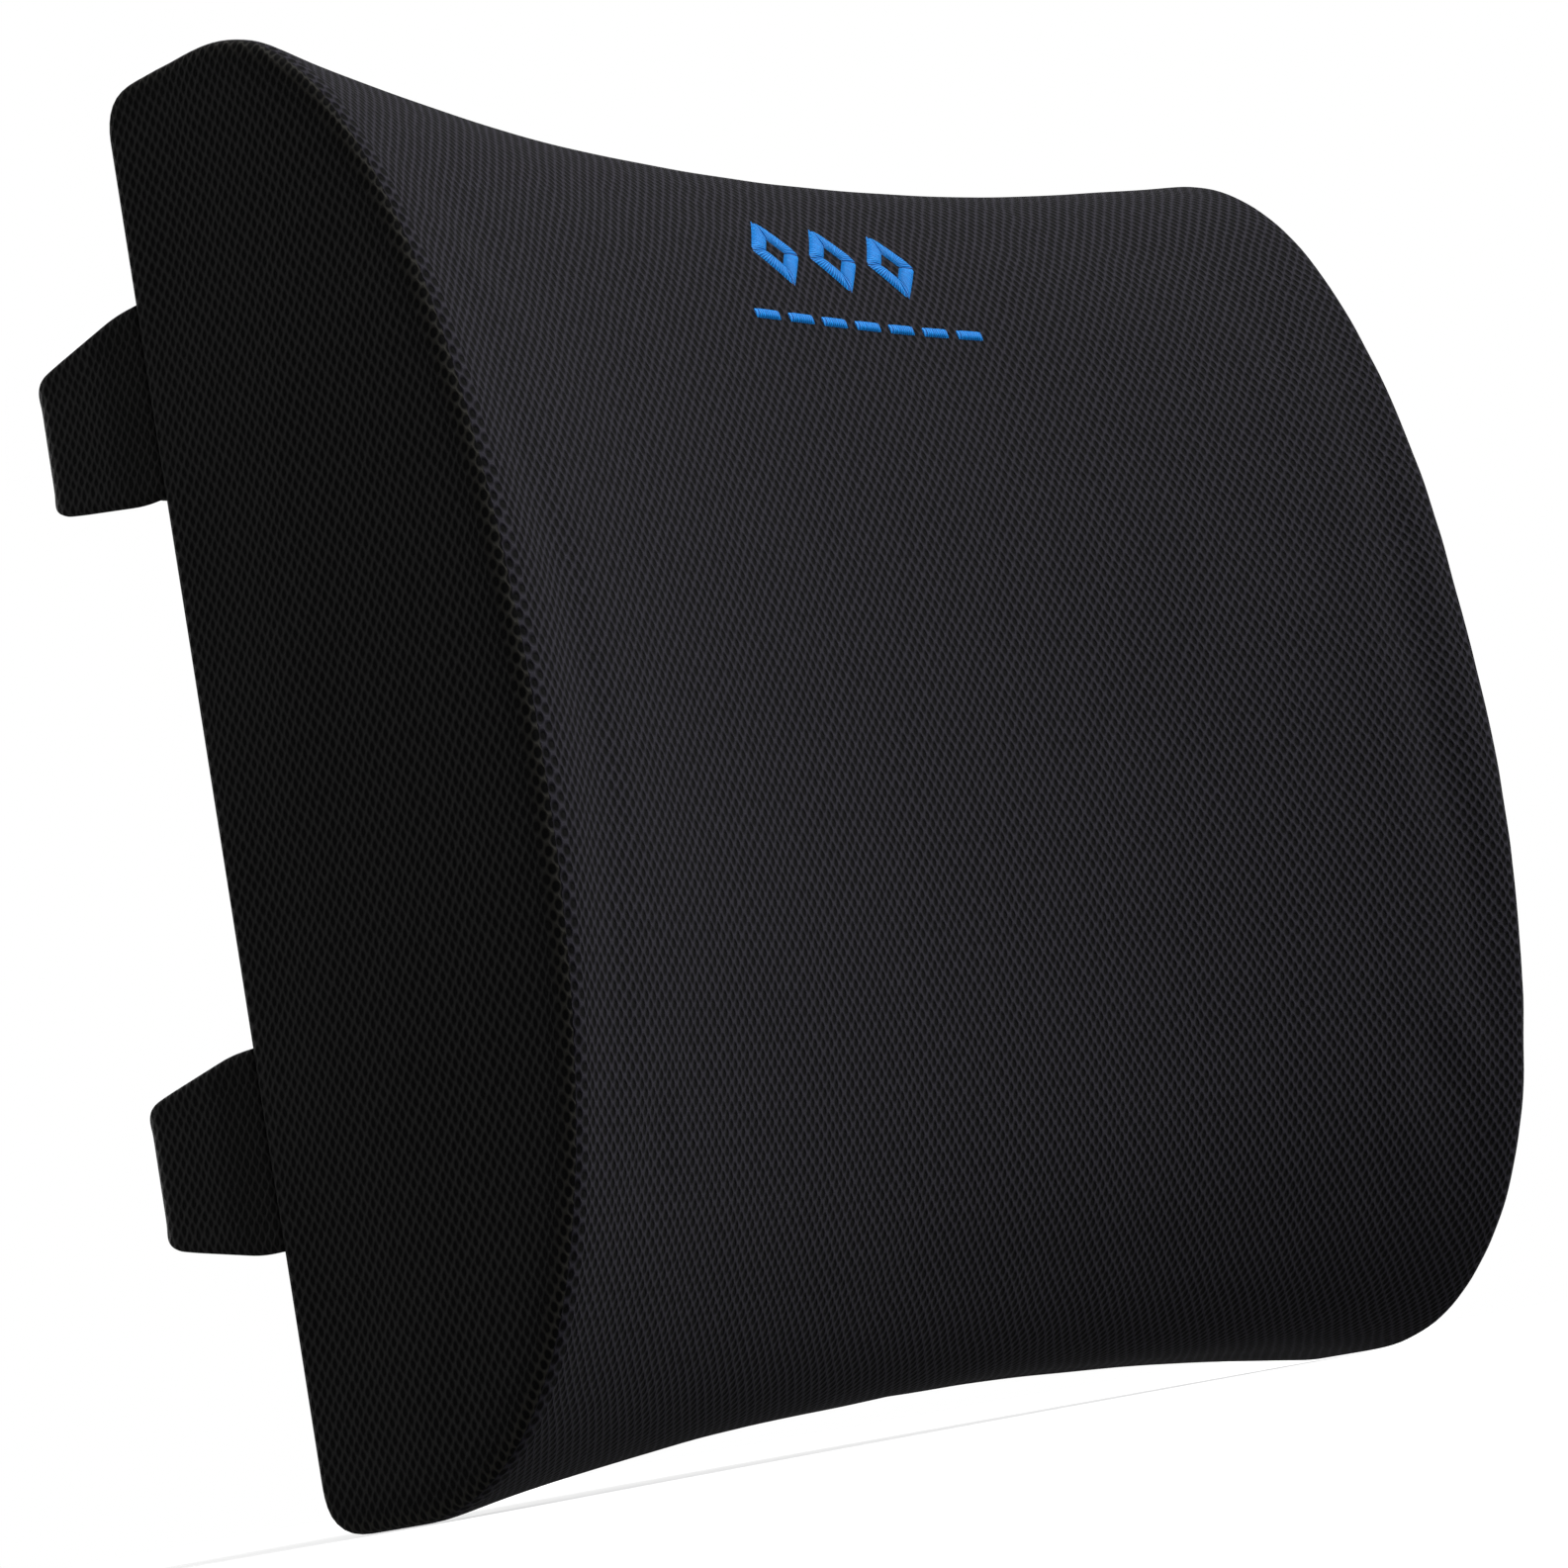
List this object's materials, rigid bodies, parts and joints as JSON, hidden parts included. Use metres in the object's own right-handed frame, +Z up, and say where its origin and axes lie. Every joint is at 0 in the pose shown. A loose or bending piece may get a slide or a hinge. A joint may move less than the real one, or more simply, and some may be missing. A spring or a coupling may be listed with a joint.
{
  "type": "lumbar support cushion",
  "caption": "Scooped foam back cushion in a zipped mesh cover, with clip-together straps that loop round a chair's back.",
  "frame": {"origin": "middle of the bottom of the whole object's box, on the surface that the cushion stands on", "axes": "+X to the wearer's left across the cushion, +Y out of its flat back towards the chair, +Z up"},
  "size_m": [0.34, 0.1494, 0.32],
  "materials": {
    "foam": "open-cell memory foam, matt",
    "liner": "thin knitted jersey",
    "front_mesh": "black spacer mesh with small oval holes",
    "side_mesh": "black spacer mesh with small oval holes, in shade",
    "zip_tape": "woven tape",
    "zip_coil": "nylon coil",
    "zip_metal": "black enamelled metal",
    "embroidery": "satin-stitched blue thread",
    "strap_mesh": "black spacer mesh",
    "webbing": "black polypropylene webbing",
    "buckle": "moulded black acetal, satin"
  },
  "bodies": {
    "cushion": {"foam_core": "foam", "liner_sleeve": "liner", "liner_left_end": "liner", "liner_right_end": "liner", "front_panel": "front_mesh", "left_side_panel": "side_mesh", "right_side_panel": "side_mesh", "back_panel": "front_mesh", "lower_back_panel": "front_mesh", "zip_tape_upper": "zip_tape", "zip_tape_lower": "zip_tape", "zip_teeth_upper": "zip_coil", "zip_teeth_lower": "zip_coil", "zip_top_stops": "zip_metal", "zip_bottom_stop": "zip_metal", "emblem": "embroidery", "upper_left_tab_root": "strap_mesh", "upper_right_tab_root": "strap_mesh", "lower_left_tab_root": "strap_mesh", "lower_right_tab_root": "strap_mesh"},
    "zip_slider": {"zip_slider": "zip_metal"},
    "zip_pull": {"zip_pull": "zip_metal"},
    "upper_strap": {"upper_left_tab": "strap_mesh", "upper_right_tab": "strap_mesh", "upper_fixed_webbing": "webbing", "upper_adjuster_webbing": "webbing", "upper_buckle_socket": "buckle"},
    "upper_plug": {"upper_buckle_plug": "buckle", "upper_webbing_tail": "webbing"},
    "upper_prong_above": {"upper_prong_above": "buckle"},
    "upper_prong_below": {"upper_prong_below": "buckle"},
    "lower_strap": {"lower_left_tab": "strap_mesh", "lower_right_tab": "strap_mesh", "lower_fixed_webbing": "webbing", "lower_adjuster_webbing": "webbing", "lower_buckle_socket": "buckle"},
    "lower_plug": {"lower_buckle_plug": "buckle", "lower_webbing_tail": "webbing"},
    "lower_prong_above": {"lower_prong_above": "buckle"},
    "lower_prong_below": {"lower_prong_below": "buckle"}
  },
  "joints": [
    {"name": "zip_slide", "type": "slide", "parent": "cushion", "child": "zip_slider", "axis": [1, 0, 0], "range_m": [-0.292, 0]},
    {"name": "zip_pull_swing", "type": "hinge", "parent": "zip_slider", "child": "zip_pull", "pos_m": [0.146, 0.03035, 0.036], "axis": [0, 0, -1], "range_deg": [0, 170]},
    {"name": "upper_strap_sway", "type": "hinge", "parent": "cushion", "child": "upper_strap", "pos_m": [0, 0.04925, 0.2495], "axis": [1, 0, 0], "range_deg": [-35, 35]},
    {"name": "upper_buckle_release", "type": "slide", "parent": "upper_strap", "child": "upper_plug", "axis": [1, 0, 0], "range_m": [0, 0.026]},
    {"name": "upper_prong_squeeze_above", "type": "hinge", "parent": "upper_plug", "child": "upper_prong_above", "pos_m": [0.008, 0.07025, 0.25745], "axis": [0, -1, 0], "range_deg": [0, 8], "stiffness_Nm_per_rad": 0.1},
    {"name": "upper_prong_squeeze_below", "type": "hinge", "parent": "upper_plug", "child": "upper_prong_below", "pos_m": [0.008, 0.07025, 0.24155], "axis": [0, -1, 0], "range_deg": [-8, 0], "stiffness_Nm_per_rad": 0.1},
    {"name": "lower_strap_sway", "type": "hinge", "parent": "cushion", "child": "lower_strap", "pos_m": [0, 0.04925, 0.0835], "axis": [1, 0, 0], "range_deg": [-35, 35]},
    {"name": "lower_buckle_release", "type": "slide", "parent": "lower_strap", "child": "lower_plug", "axis": [1, 0, 0], "range_m": [0, 0.026]},
    {"name": "lower_prong_squeeze_above", "type": "hinge", "parent": "lower_plug", "child": "lower_prong_above", "pos_m": [0.008, 0.07025, 0.09145], "axis": [0, -1, 0], "range_deg": [0, 8], "stiffness_Nm_per_rad": 0.1},
    {"name": "lower_prong_squeeze_below", "type": "hinge", "parent": "lower_plug", "child": "lower_prong_below", "pos_m": [0.008, 0.07025, 0.07555], "axis": [0, -1, 0], "range_deg": [-8, 0], "stiffness_Nm_per_rad": 0.1}
  ],
  "couplings": [
    {"joint": "upper_prong_squeeze_below", "follows": "upper_prong_squeeze_above", "ratio": -1},
    {"joint": "lower_prong_squeeze_below", "follows": "lower_prong_squeeze_above", "ratio": -1}
  ]
}
